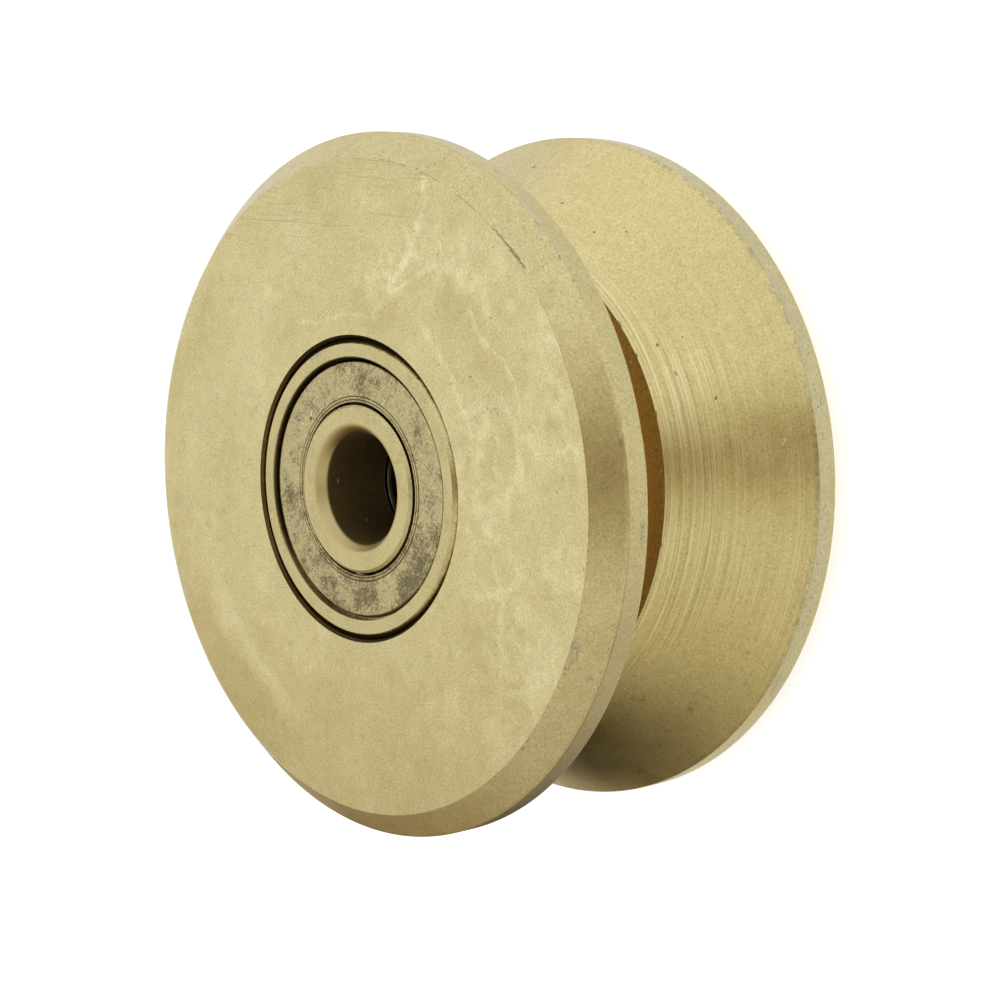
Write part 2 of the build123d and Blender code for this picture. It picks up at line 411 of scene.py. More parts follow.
def face_material():
    """Flat face: cloudy plating with soft pale veins, long faint scratches and small pits."""
    material, tree, (place, radius, degrees, _), colour, grain = satin_metal("wheel_face", gold)
    parts = tree.nodes.new("ShaderNodeSeparateXYZ")
    tree.links.new(place, parts.inputs[0])
    x, y = parts.outputs[0], parts.outputs[1]
    clouds = noise(tree, place, 0.010, 4.0, 0.55)
    colour = toned(tree, colour, duller, slide(tree, clouds, 0.50, 0.68, 0.0, 0.42))
    colour = toned(tree, colour, brighter, slide(tree, clouds, 0.46, 0.34, 0.0, 0.36))
    wide_veins = network(tree, pushed(tree, place, 0.0042, 0.0065), 0.0085, 0.0011)
    thin_veins = network(tree, pushed(tree, place, 0.0026, 0.0040), 0.0046, 0.0006)
    veins = maths(tree, "MAXIMUM", wide_veins, product(tree, thin_veins, 0.6))
    broken = slide(tree, noise(tree, place, 0.012, 2.0), 0.40, 0.58)
    across = maths(tree, "MULTIPLY_ADD", y, -0.84, product(tree, x, 0.55))
    stronger = slide(tree, across, -0.014, 0.014, 0.25, 0.85)
    feathered = slide(tree, noise(tree, place, 0.0012, 3.0, 0.6), 0.30, 0.58, 0.45, 1.0)
    colour = toned(tree, colour, brighter, veins, broken, stronger, feathered)
    long_vein_places = (
        (-28.6, 0.03356, 0.0044, 0.0018, -75),
        (-29.0, 0.02937, 0.0060, 0.0017, 85),
        (-27.5, 0.02535, 0.0044, 0.0014, 72),
        (-24.6, 0.02249, 0.0042, 0.0013, 63),
        (-20.6, 0.01984, 0.0042, 0.0010, 58),
        (-11.6, 0.01846, 0.0050, 0.0008, -1),
        (0.8, 0.01836, 0.0046, 0.0008, 5),
        (14.5, 0.01896, 0.0060, 0.0008, -19),
        (-27.5, 0.02259, 0.0054, 0.0009, 41),
        (-35.1, 0.02590, 0.0056, 0.0009, 50),
        (-43.0, 0.02040, 0.0046, 0.0014, -11),
        (-51.9, 0.01990, 0.0042, 0.0012, -5),
        (-59.9, 0.01970, 0.0036, 0.0010, -7),
        (-68.4, 0.01955, 0.0046, 0.0010, 1),
        (-76.5, 0.01945, 0.0030, 0.0008, -11),
        (-53.8, 0.02617, 0.0044, 0.0009, -15),
        (-59.6, 0.02600, 0.0036, 0.0011, 10),
        (-64.2, 0.02680, 0.0034, 0.0010, 32),
        (-69.1, 0.02740, 0.0040, 0.0009, 3),
        (-75.1, 0.02730, 0.0044, 0.0009, -7),
        (-58.7, 0.03130, 0.0020, 0.0016, 40),
    )
    long_vein = spots(tree, place, on_face(half_width, long_vein_places), ragged=0.0014, soft=0.1)
    feathered = slide(tree, noise(tree, place, 0.0008, 4.0, 0.7), 0.30, 0.56, 0.3, 0.85)
    colour = toned(tree, colour, brighter, long_vein, feathered)
    uneven_radius = maths(tree, "MULTIPLY_ADD", noise(tree, place, 0.006, 3.0), 0.006, radius)
    low_side = product(tree, slide(tree, degrees, 98, 116), slide(tree, degrees, 158, 138))
    colour = toned(
        tree, colour, (0.89, 0.84, 0.77), low_side, slide(tree, uneven_radius, 0.0315, 0.0330)
    )
    streak = slide(tree, off(tree, uneven_radius, 0.0302), 0.0016, 0.0002)
    colour = toned(tree, colour, brighter, streak, low_side, 0.5)
    lines = noise(tree, stretched(tree, place, (1, 0.03, 1), math.radians(-11)), 0.00019, 2.5, 0.6)
    near_edge = slide(tree, x, 0.0205, 0.0275)
    patchy = slide(tree, noise(tree, place, 0.006, 2.0), 0.34, 0.56)
    brushed = product(tree, slide(tree, lines, 0.55, 0.68), near_edge, patchy, 0.36)
    long_line_places = (
        (13.4, 0.03034, 0.0150, 0.00010, -24),
        (-13.7, 0.03276, 0.0107, 0.00012, 0),
        (24.9, 0.03321, 0.0040, 0.00012, -36),
        (14.1, 0.03064, 0.0058, 0.00010, -24),
        (-2.9, 0.02784, 0.0066, 0.00010, -6),
        (-13.7, 0.03454, 0.0085, 0.00011, 0),
        (12.9, 0.03227, 0.0093, 0.00009, -21),
        (-22.0, 0.02950, 0.0080, 0.00009, 10),
    )
    long_lines = spots(tree, place, on_face(half_width, long_line_places), ragged=0.00006)
    scratches = maths(tree, "MAXIMUM", brushed, product(tree, long_lines, 0.38))
    colour = coat(tree, colour, (0.30, 0.245, 0.11), scratches)
    # Painted shade: the face darkens towards its lower side, towards -x.
    colour = toned(tree, colour, (0.77, 0.73, 0.66), slide(tree, x, -0.008, -0.032, 0.0, 0.55))
    # Painted highlight: a pale line along the face's outer edge on its left side.
    left_side = slide(tree, off(tree, degrees, 95.0), 62.0, 40.0, 0.0, 0.75)
    colour = coat(tree, colour, (0.78, 0.77, 0.72), slide(tree, radius, 0.03444, 0.03458), left_side)
    fleck_places = (
        (-73.4, 0.02214, 0.0006, 0.00016, 40),
        (-73.0, 0.02285, 0.0007, 0.00014, 5),
        (-74.2, 0.02326, 0.0005, 0.00018, -30),
        (-74.3, 0.02388, 0.0008, 0.00014, 60),
        (-75.6, 0.02400, 0.0005, 0.00022, 20),
        (-70.9, 0.02360, 0.0006, 0.00012, 10),
        (-71.6, 0.02420, 0.0004, 0.00012, -50),
        (-63.4, 0.02219, 0.0006, 0.00014, 60),
        (-60.6, 0.01942, 0.0006, 0.00018, 75),
        (-53.0, 0.01930, 0.0004, 0.00016, 60),
        (-57.1, 0.02830, 0.0003, 0.00022, 0),
        (-94.4, 0.03057, 0.0005, 0.00020, 60),
        (-28.4, 0.02889, 0.0003, 0.00018, 0),
    )
    flecks = spots(tree, place, on_face(half_width, fleck_places), ragged=0.0003)
    pits = tree.nodes.new("ShaderNodeTexVoronoi")
    tree.links.new(place, pits.inputs["Vector"])
    pits.inputs["Scale"].default_value = 1 / 0.0017
    pitted = slide(tree, noise(tree, place, 0.007, 2.0), 0.54, 0.66)
    pit = product(tree, slide(tree, pits.outputs["Distance"], 0.10, 0.03), pitted, 0.45)
    pit = maths(tree, "MAXIMUM", pit, product(tree, flecks, 0.5))
    colour = coat(tree, colour, (0.12, 0.09, 0.04), pit)
    relief = product(tree, grain, 0.00001)
    roughness = slide(tree, clouds, 0.35, 0.65, 0.36, 0.29)
    return finish(material, colour, relief, roughness)


def bevel_material():
    """Bevel and rim: fine grain, faint turning marks, grey stains and nicks."""
    material, tree, (place, radius, degrees, height), colour, grain = satin_metal("wheel_rim", gold)
    clouds = noise(tree, place, 0.006, 3.0, 0.55)
    colour = toned(tree, colour, duller, slide(tree, clouds, 0.5, 0.7, 0.0, 0.3))
    stain_places = (
        (-120.4, 0.03501, 0.01794, 0.0028, 0.0014, 0),
        (-123.4, 0.03484, 0.01811, 0.0022, 0.0009, 0),
        (-124.3, 0.03671, 0.01629, 0.0026, 0.0008, 60),
        (-87.5, 0.03732, 0.01568, 0.0014, 0.0005, 0),
        (-140.7, 0.03478, 0.01817, 0.0018, 0.0008, 0),
        (-85.5, 0.0375, 0.01297, 0.0010, 0.0005, 0),
        (-100.9, 0.0375, 0.01351, 0.0022, 0.0012, 0),
        (-36.5, 0.0375, 0.01414, 0.0008, 0.0004, 0),
        (-132.3, 0.0375, -0.01396, 0.0034, 0.0008, 0),
        (15.5, 0.03715, 0.01585, 0.0022, 0.0004, 0),
        (-4.0, 0.03500, 0.01795, 0.0016, 0.0003, 0),
    )
    stains = spots(tree, place, stain_places)
    blotched = slide(tree, noise(tree, place, 0.0005, 4.0, 0.7), 0.42, 0.60)
    colour = coat(tree, colour, (0.26, 0.245, 0.20), stains, blotched, 0.6)
    nick_places = (
        (-47.6, 0.03486, 0.01807, 0.0018, 0.00014, 0),
        (-49.6, 0.03487, 0.01806, 0.0022, 0.00018, 0),
        (-51.6, 0.03489, 0.01804, 0.0022, 0.00024, 0),
        (-53.3, 0.03493, 0.01800, 0.0018, 0.00034, 1),
        (-55.0, 0.03494, 0.01799, 0.0016, 0.00022, 0),
        (-49.2, 0.03508, 0.01787, 0.0007, 0.00010, 60),
        (-118.5, 0.03748, 0.01547, 0.0024, 0.00014, 0),
        (-131.0, 0.0375, 0.01534, 0.0020, 0.00012, 0),
        (-49.3, 0.03515, 0.01780, 0.0008, 0.00009, 50),
        (-49.9, 0.03738, 0.01550, 0.0018, 0.00013, 0),
        (-57.1, 0.03740, 0.01558, 0.0005, 0.00022, 0),
        (-57.0, 0.03700, 0.01598, 0.0006, 0.00010, 60),
        (-61.6, 0.03742, 0.01555, 0.0006, 0.00016, 0),
        (-28.3, 0.0366, 0.01640, 0.0005, 0.00020, 20),
        (-15.1, 0.03516, 0.01784, 0.0006, 0.00016, 0),
        (-27.0, 0.03540, 0.01760, 0.0005, 0.00016, 30),
        (-25.4, 0.03499, 0.01801, 0.0007, 0.00018, 80),
        (-34.5, 0.03504, 0.01790, 0.0009, 0.00012, 10),
    )
    nicks = spots(tree, place, nick_places)
    colour = coat(tree, colour, (0.17, 0.145, 0.10), nicks, 0.72)
    edge = off(tree, maths(tree, "ABSOLUTE", height), half_width - rim_bevel)
    at_edge = product(tree, slide(tree, edge, 0.00016, 0.00005), slide(tree, radius, 0.0371, 0.0373))
    uneven = slide(tree, noise(tree, place, 0.0012, 4.0, 0.65), 0.44, 0.58)
    colour = coat(tree, colour, dull_gold, at_edge, uneven, 0.35)
    front = slide(tree, height, 0.0, 0.002)
    land_side = slide(tree, maths(tree, "SUBTRACT", half_width - rim_bevel, height), 0.0007, 0.0001)
    worn_band = product(tree, slide(tree, height, 0.01565, 0.01535), land_side, front)
    worn_part = slide(tree, off(tree, degrees, -50.5), 7.5, 5.0)
    worn_lumps = slide(tree, noise(tree, place, 0.0004, 4.0, 0.7), 0.36, 0.56)
    colour = coat(tree, colour, rubbed_steel, worn_band, worn_part, worn_lumps, 0.8)
    face_edge = slide(tree, off(tree, radius, rim_radius - rim_bevel), 0.00016, 0.00004)
    upper_right = slide(tree, off(tree, degrees, -30.0), 24.0, 13.0, 0.35, 0.95)
    colour = coat(tree, colour, (0.30, 0.25, 0.12), face_edge, uneven, upper_right)
    far_edge = slide(tree, off(tree, height, -groove_half_width - 0.0001), 0.0008, 0.0002)
    far_side = slide(tree, off(tree, degrees, -78.0), 62.0, 42.0, 0.25, 1.0)
    on_land = slide(tree, radius, 0.0371, 0.0373)
    colour = coat(tree, colour, (0.40, 0.38, 0.31), far_edge, on_land, far_side, blotched, 0.35)
    silvered = slide(tree, height, -0.0124, -0.0130)
    silvered = product(tree, silvered, slide(tree, height, -0.0154, -0.0142), far_side)
    silver_lumps = slide(tree, noise(tree, place, 0.0005, 4.0, 0.75), 0.40, 0.60, 0.25, 1.0)
    colour = coat(tree, colour, rubbed_steel, silvered, silver_lumps, 0.45)
    dark_specks = slide(tree, noise(tree, place, 0.00032, 2.0, 0.6), 0.58, 0.68)
    colour = coat(tree, colour, (0.20, 0.17, 0.10), silvered, dark_specks, 0.6)
    low_land = product(
        tree, slide(tree, degrees, -98.0, -128.0, 0.0, 0.22), slide(tree, radius, 0.0373, 0.03745)
    )
    colour = coat(tree, colour, rubbed_steel, low_land, front)
    on_bevel = product(tree, slide(tree, radius, 0.0374, 0.0371), front)
    # Painted dark reflection: a duller band on the front bevel where it faces the camera.
    painted_dark_band = slide(tree, off(tree, degrees, -89.0), 25.0, 9.0)
    colour = toned(tree, colour, (0.84, 0.80, 0.74), on_bevel, painted_dark_band)
    # Painted light: the lower part of the front bevel is lighter and cooler.
    low_bevel = slide(tree, maths(tree, "ABSOLUTE", degrees), 112.0, 140.0)
    colour = toned(tree, colour, (1.06, 1.08, 1.20), on_bevel, low_bevel)
    marks = rings(tree, place, maths(tree, "ADD", radius, height), 0.0004, 3.0)
    relief = product(tree, grain, 0.00001)
    relief = maths(tree, "MULTIPLY_ADD", marks, 0.000004, relief)
    roughness = slide(tree, clouds, 0.35, 0.65, 0.34, 0.28)
    return finish(material, colour, relief, roughness)


def flank_material():
    """Groove flank: turning lines, strongest near the slot and coloured as painted glints, pits and a
    rubbed outer edge.
    """
    material, tree, (place, radius, degrees, _), colour, grain = satin_metal(
        "wheel_flank", (0.625, 0.53, 0.240)
    )
    coarse = rings(tree, place, radius, 0.00045, 0.5, 2.0)
    thin = rings(tree, place, radius, 0.00017, 0.8, 1.5)
    hair = rings(tree, place, radius, 0.00010, 1.3, 0.0)
    near_slot = slide(tree, radius, 0.0335, 0.0262, 0.30, 1.0)
    patchy = slide(tree, noise(tree, place, 0.007, 2.0), 0.32, 0.60, 0.45, 1.0)
    # Painted glints and shade: light and dark colours along the real turning marks, which are also in
    # the relief, strongest where the flank faces the camera.
    facing = slide(tree, off(tree, degrees, -101.0), 41.0, 21.0, 0.1, 1.0)
    facing = maths(tree, "MAXIMUM", facing, slide(tree, radius, 0.0290, 0.0268, 0.0, 0.6))
    lined = product(tree, near_slot, patchy, facing)
    colour = coat(tree, colour, (0.78, 0.69, 0.36), slide(tree, coarse, 0.53, 0.64), lined, 0.3)
    colour = coat(tree, colour, (0.40, 0.33, 0.14), slide(tree, coarse, 0.47, 0.36), lined, 0.35)
    colour = coat(tree, colour, (0.88, 0.79, 0.46), slide(tree, thin, 0.56, 0.64), lined, 0.68)
    colour = coat(tree, colour, (0.33, 0.265, 0.105), slide(tree, thin, 0.43, 0.35), lined, 0.65)
    hair_line = product(tree, slide(tree, hair, 0.58, 0.70), slide(tree, lined, 0.0, 0.6, 0.12, 0.9))
    colour = coat(tree, colour, (0.80, 0.71, 0.38), hair_line)
    burr = product(tree, slide(tree, radius, 0.02645, 0.02626), slide(tree, coarse, 0.3, 0.5, 0.4, 1.0))
    colour = coat(tree, colour, pale_gold, burr, 0.6)
    clouds = noise(tree, place, 0.005, 3.0, 0.55)
    colour = toned(tree, colour, duller, slide(tree, clouds, 0.5, 0.7, 0.0, 0.15))
    # Painted light: the flank is lighter and cooler above about -50 degrees, and a touch darker again
    # above about -10 degrees.
    colour = toned(tree, colour, (1.07, 1.07, 1.13), slide(tree, degrees, -62.0, -38.0))
    colour = toned(tree, colour, (0.92, 0.93, 1.03), slide(tree, degrees, -18.0, -3.0))
    pit_places = (
        (-20.5, 0.03078, -0.00623, 0.0005, 0.0003, 20),
        (-5.8, 0.03425, -0.00970, 0.0006, 0.0003, 20),
        (-33.2, 0.02969, -0.00514, 0.0004, 0.0003, 0),
        (-38.8, 0.03125, -0.00670, 0.0004, 0.0003, 0),
        (-79.6, 0.03074, -0.00619, 0.0004, 0.00024, 0),
        (-65.2, 0.02796, -0.00341, 0.0004, 0.00026, 20),
        (-65.7, 0.02989, -0.00534, 0.0003, 0.00018, 0),
        (-72.5, 0.02842, -0.00387, 0.0006, 0.00014, 0),
        (-56.7, 0.02625, -0.00170, 0.0009, 0.00022, 0),
        (-65.5, 0.02625, -0.00170, 0.0005, 0.00030, 0),
        (-80.0, 0.02623, -0.00168, 0.0008, 0.00020, 0),
        (-110.0, 0.02623, -0.00168, 0.0010, 0.00020, 0),
    )
    pits = spots(tree, place, pit_places)
    smear_places = (
        (-138.8, 0.02780, -0.00322, 0.0026, 0.0005, 3),
        (-148.0, 0.03008, -0.00553, 0.0020, 0.0012, 0),
        (-150.2, 0.02956, -0.00501, 0.0014, 0.0010, 0),
        (-143.7, 0.03354, -0.00899, 0.0030, 0.0016, 20),
        (-140.5, 0.03290, -0.00835, 0.0016, 0.0010, -30),
        (-129.2, 0.03046, -0.00591, 0.0014, 0.0004, 50),
        (-132.5, 0.03061, -0.00606, 0.0016, 0.0006, 20),
        (-127.8, 0.03475, -0.01020, 0.0008, 0.0006, 0),
        (-142.3, 0.03747, -0.01292, 0.0034, 0.0008, 0),
        (-134.0, 0.03740, -0.01285, 0.0030, 0.0006, 0),
    )
    smears = spots(tree, place, smear_places, ragged=0.0012, soft=0.2)
    blotched = slide(tree, noise(tree, place, 0.0009, 4.0, 0.8), 0.40, 0.62)
    colour = coat(tree, colour, (0.24, 0.20, 0.10), smears, blotched, 0.5)
    colour = coat(tree, colour, (0.12, 0.085, 0.035), pits, 0.8)
    # Painted glints: two bright spots where the flank faces the camera.
    painted_glint_places = (
        (-89.5, 0.03503, -0.01048, 0.0016, 0.0008, 20),
        (-87.6, 0.03560, -0.01105, 0.0012, 0.0005, -30),
    )
    painted_glints = spots(tree, place, painted_glint_places, ragged=0.0006, soft=0.2)
    colour = coat(tree, colour, (0.92, 0.86, 0.55), painted_glints, slide(tree, grain, 0.48, 0.58), 0.8)
    outer = slide(tree, radius, 0.0371, 0.03735)
    speckle = slide(tree, noise(tree, place, 0.0006, 3.0, 0.7), 0.42, 0.60)
    rubbed_part = slide(tree, off(tree, degrees, -78.0), 62.0, 42.0, 0.2, 0.5)
    colour = coat(tree, colour, (0.27, 0.25, 0.2), outer, speckle, rubbed_part)
    relief = product(tree, grain, 0.00001)
    relief = maths(tree, "MULTIPLY_ADD", product(tree, coarse, lined), 0.00004, relief)
    cut = slide(tree, lined, 0.0, 0.55, 0.12, 1.0)
    relief = maths(tree, "MULTIPLY_ADD", product(tree, thin, cut), 0.00003, relief)
    relief = maths(tree, "MULTIPLY_ADD", product(tree, hair, cut), 0.00001, relief)
    roughness = slide(tree, clouds, 0.35, 0.65, 0.33, 0.27)
    return finish(material, colour, relief, roughness)


def slot_material():
    """Relief slot: dull brown plating that the tool left rough, with a few bright specks."""
    material, tree, (place, *_), colour, grain = satin_metal(
        "wheel_slot", (0.63, 0.46, 0.17)
    )
    mottle = noise(tree, place, 0.0005, 4.0, 0.7)
    colour = coat(tree, colour, (0.34, 0.24, 0.08), slide(tree, mottle, 0.48, 0.30, 0.0, 0.6))
    speck_places = (
        (-66.0, 0.0252, -slot_half_width, 0.0004, 0.0003, 0),
        (-65.2, 0.0257, -slot_half_width, 0.0003, 0.0002, 40),
        (-93.2, 0.0257, -slot_half_width, 0.0004, 0.0003, 0),
        (-74.0, 0.0254, -slot_half_width, 0.0003, 0.0002, 0),
    )
    specks = spots(tree, place, speck_places, ragged=0.0002)
    colour = coat(tree, colour, (0.9, 0.85, 0.6), specks, 0.7)
    relief = product(tree, grain, 0.00002)
    roughness = slide(tree, noise(tree, place, 0.001, 3.0), 0.3, 0.7, 0.5, 0.65)
    return finish(material, colour, relief, roughness)


def depth_below_face(tree, height):
    """How deep a height lies below the nearer flat face of the wheel."""
    return maths(tree, "SUBTRACT", half_width, maths(tree, "ABSOLUTE", height))


def shaded_gap_metal(
    name, base, top, bottom, shine, creeping=0.0, low_share=0.0, low_colour=gold, top_share=0.0
):
    """Plated wall in a gap: its own colour at the outside, and painted black shade from a depth below
    the face.

    The painted shade creeps up by a height, except on the right side. A colour covers the lower side by
    a share, and painted shade covers the top by another, as the light falls.
    """
    material, tree, (place, _, degrees, height), colour, grain = satin_metal(name, base)
    from_top = maths(tree, "ABSOLUTE", degrees)
    # Painted light and shade by side: a colour on the lower side and black on the top.
    colour = coat(tree, colour, low_colour, slide(tree, from_top, 98.0, 128.0, 0.0, low_share))
    colour = coat(tree, colour, painted_shade_black, slide(tree, from_top, 58.0, 28.0, 0.0, top_share))
    depth = depth_below_face(tree, height)
    off_right = off(tree, degrees, -90.0)
    depth = maths(tree, "ADD", depth, slide(tree, off_right, 12.0, 92.0, 0.0, creeping))
    ragged = maths(tree, "MULTIPLY_ADD", noise(tree, place, 0.0008, 3.0, 0.6), 0.0003, -0.00015)
    # Painted shade in the gap: brown, then black, below a depth under the face.
    in_gap_shade = slide(tree, maths(tree, "ADD", depth, ragged), top, bottom)
    colour = coat(tree, colour, (0.27, 0.19, 0.06), slide(tree, in_gap_shade, 0.0, 0.6))
    colour = coat(tree, colour, painted_shade_black, slide(tree, in_gap_shade, 0.3, 1.0))
    relief = product(tree, grain, 0.00001)
    roughness = slide(tree, in_gap_shade, 0.0, 1.0, shine, 0.7)
    return finish(material, colour, relief, roughness)


face, rim, flank, slot, pocket = range(5)
wheel_corners = [
    (shoulder_bore_radius, -pocket_floor, crisp, pocket),
    (pocket_radius, -pocket_floor, crisp, pocket),
    (pocket_radius, -half_width + pocket_edge_break, fine, pocket),
    (pocket_radius + pocket_edge_break, -half_width, fine, face),
    (rim_radius - rim_bevel, -half_width, crisp, rim),
    (rim_radius, -half_width + rim_bevel, worn, rim),
    (rim_radius, -groove_half_width, worn, flank),
    (slot_mouth_radius, -slot_half_width, fine, slot),
    (slot_floor_radius, -slot_half_width, crisp, slot),
    (slot_floor_radius, slot_half_width, crisp, slot),
    (slot_mouth_radius, slot_half_width, fine, flank),
    (rim_radius, groove_half_width, worn, rim),
    (rim_radius, half_width - rim_bevel, worn, rim),
    (rim_radius - rim_bevel, half_width, crisp, face),
    (pocket_radius + pocket_edge_break, half_width, fine, pocket),
    (pocket_radius, half_width - pocket_edge_break, fine, pocket),
    (pocket_radius, pocket_floor, crisp, pocket),
    (shoulder_bore_radius, pocket_floor, crisp, pocket),
]
wheel_dents = (
    (-51.6, 0.03490, 0.01805, 0.0026, 0.00016, 0.00010),
    (-53.2, 0.03492, 0.01801, 0.0009, 0.00022, 0.00008),
    (-57.2, 0.03715, 0.01580, 0.0003, 0.00025, 0.00012),
)
nick_angle = math.radians(-52)
crowding_at_nicks = 0.6
even_angles = np.linspace(0, 2 * math.pi, 540, endpoint=False)
wheel_angles = even_angles - crowding_at_nicks * np.sin(even_angles - nick_angle)
wheel = turned(
    "wheel_body_turned",
    wheel_corners,
    step=0.0018,
    angles=wheel_angles,
    materials=(
        face_material(),
        bevel_material(),
        flank_material(),
        slot_material(),
        # Pocket walls: near-black as painted shade of the gap beside the outer ring, blacker on the top
        # and lower sides.
        shaded_gap_metal(
            "wheel_pocket",
            (0.10, 0.072, 0.022),
            0.0002,
            0.0008,
            0.4,
            low_share=0.75,
            low_colour=painted_shade_black,
            top_share=0.7,
        ),
    ),
    dents=wheel_dents,
)
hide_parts("wheel_body")
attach(wheel, "wheel")


# Bearing rings
# Hardened rings, ground flat and round and plated with the wheel. The gaps beside them and
# the bore, where the axle bolt goes, are painted dark as shade.
inner_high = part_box("front_inner_ring")[1]
shield_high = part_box("front_outside_shield")[1]
ring_radius = ring_high.x
ring_face = ring_high.z
ring_back = ring_low.z
outer_ring_chamfer = 0.0006
shield_thickness = 0.0003
shield_foot_height = 0.00095
shield_foot_play = 0.00005
shield_seat_radius = shield_high.x - 0.00015
shield_seat_depth = 0.0015
outer_shoulder_radius = shield_seat_radius - 0.00088
bore_radius = 0.006
bore_chamfer = 0.0008
worn_bore_edge = 0.0011
upper_bore_rounding = 0.0005
lower_bore_rounding = 0.0006
inner_shoulder_radius = inner_high.x
inner_ring_chamfer = 0.0003
ball_radius = 0.00298
ball_play = 0.00004
pitch_radius = (bore_radius + ring_radius) / 2
raceway_radius = 1.04 * ball_radius
bearing_middle = (ring_face + ring_back) / 2
half_bearing = (ring_face - ring_back) / 2


def ring_face_material():
    """Ring faces: pale plating with a fine grain and a few grey stains."""
    material, tree, (place, *_), colour, grain = satin_metal(
        "ring_face", (0.555, 0.48, 0.235)
    )
    clouds = noise(tree, place, 0.004, 3.0, 0.55)
    colour = coat(tree, colour, gold, slide(tree, clouds, 0.36, 0.6, 0.5, 0.0))
    stain_places = (
        (15.0, 0.0152, 0.0018, 0.0007, 10),
        (20.0, 0.0154, 0.0016, 0.0006, -15),
        (95.0, 0.0148, 0.0006, 0.0010, 0),
        (-82.0, 0.0076, 0.00024, 0.0020, 25),
    )
    stains = spots(tree, place, on_face(ring_face, stain_places), ragged=0.0006, soft=0.2)
    colour = coat(tree, colour, (0.34, 0.33, 0.33), stains, 0.55)
    relief = product(tree, grain, 0.000006)
    roughness = slide(tree, clouds, 0.35, 0.65, 0.36, 0.42)
    return finish(material, colour, relief, roughness)


def bore_material():
    """Bore and hidden walls: dark brown as painted shade, and a few bright specks as painted glints."""
    material, tree, (place, _, degrees, height), colour, grain = satin_metal(
        "ring_bore", (0.25, 0.18, 0.07)
    )
    depth = depth_below_face(tree, height)
    ragged = maths(tree, "MULTIPLY_ADD", noise(tree, place, 0.0006, 4.0, 0.7), 0.0003, -0.00015)
    deep = slide(tree, maths(tree, "ADD", depth, ragged), 0.00105, 0.00135)
    # Painted shade: the lip darkens towards the upper end of the bore.
    upper_end = slide(tree, off(tree, degrees, 12.0), 50.0, 15.0)
    shaded = product(tree, upper_end, slide(tree, depth, 0.0002, 0.0009, 0.0, 0.85))
    lip = tint(tree, shaded, (0.56, 0.46, 0.22), (0.16, 0.11, 0.04))
    # Painted glints: a few bright specks in the dark bore.
    speck_places = (
        (79.2, 0.0060, 0.01557, 0.0007, 0.00016, 0),
        (38.6, 0.0060, 0.01325, 0.0002, 0.00016, 0),
        (124.7, 0.0060, 0.01295, 0.0005, 0.00016, 0),
    )
    specks = spots(tree, place, speck_places, ragged=0.0002)
    colour = coat(tree, colour, (0.95, 0.90, 0.75), specks, 0.9)
    # Painted shade: below the lip the bore keeps its dark colour.
    colour = tint(tree, deep, lip, colour)
    relief = product(tree, grain, 0.000006)
    roughness = slide(tree, deep, 0.0, 1.0, 0.45, 0.6)
    return finish(material, colour, relief, roughness)


ring_materials = (
    ring_face_material(),
    # Painted shade: the ring chamfer darkens with depth into the gap, and the gap walls are dark brown,
    # with their lower side painted gold as lit.
    shaded_gap_metal("ring_chamfer", (0.57, 0.485, 0.235), 0.00026, 0.00075, 0.22, creeping=0.00044),
    shaded_gap_metal("ring_gap", (0.20, 0.155, 0.06), 0.0005, 0.0018, 0.4, low_share=0.85),
    bore_material(),
)
ring_angles = np.linspace(0, 2 * math.pi, 360, endpoint=False)
plain, chamfered, gap, bore = range(4)


def raceway_corners(centre, facing, shoulder):
    """Corners along a ball raceway: an arc of the raceway's radius, cut off at the ring's shoulder."""
    reach = math.acos((shoulder - centre) / raceway_radius * facing)
    swing = np.linspace(-reach, reach, 13)[::-1] * facing
    radii = centre + facing * raceway_radius * np.cos(swing)
    heights = raceway_radius * np.sin(swing)
    return [(radius, height, 0.0, gap) for radius, height in zip(radii, heights)]


def seated(corners, side):
    """Corners round a bearing's middle, moved to the front bearing or mirrored to the back one."""
    return [
        (radius, side * (bearing_middle + height), rounding, surface)
        for radius, height, rounding, surface in corners
    ]


def outer_ring_corners(side):
    """Outline of an outer ring, with the seats and grooves for its two shields."""
    seat = half_bearing - shield_seat_depth
    groove_top = half_bearing - shield_foot_height + shield_foot_play
    groove_bottom = groove_top - shield_thickness - 2 * shield_foot_play
    groove_radius = shield_high.x + shield_foot_play
    corners = [
        (outer_shoulder_radius, -seat, fine, gap),
        (shield_seat_radius, -seat, fine, gap),
        (shield_seat_radius, -groove_bottom, fine, gap),
        (groove_radius, -groove_bottom, fine, gap),
        (groove_radius, -groove_top, fine, gap),
        (shield_seat_radius, -groove_top, fine, gap),
        (shield_seat_radius, -half_bearing, crisp, plain),
        (ring_radius - outer_ring_chamfer, -half_bearing, fine, chamfered),
        (ring_radius, -half_bearing + outer_ring_chamfer, crisp, gap),
        (ring_radius, half_bearing - outer_ring_chamfer, crisp, chamfered),
        (ring_radius - outer_ring_chamfer, half_bearing, fine, plain),
        (shield_seat_radius, half_bearing, crisp, gap),
        (shield_seat_radius, groove_top, fine, gap),
        (groove_radius, groove_top, fine, gap),
        (groove_radius, groove_bottom, fine, gap),
        (shield_seat_radius, groove_bottom, fine, gap),
        (shield_seat_radius, seat, fine, gap),
        (outer_shoulder_radius, seat, fine, gap),
    ]
    raceway_centre = pitch_radius + ball_radius + ball_play - raceway_radius
    return seated(corners + raceway_corners(raceway_centre, 1, outer_shoulder_radius), side)


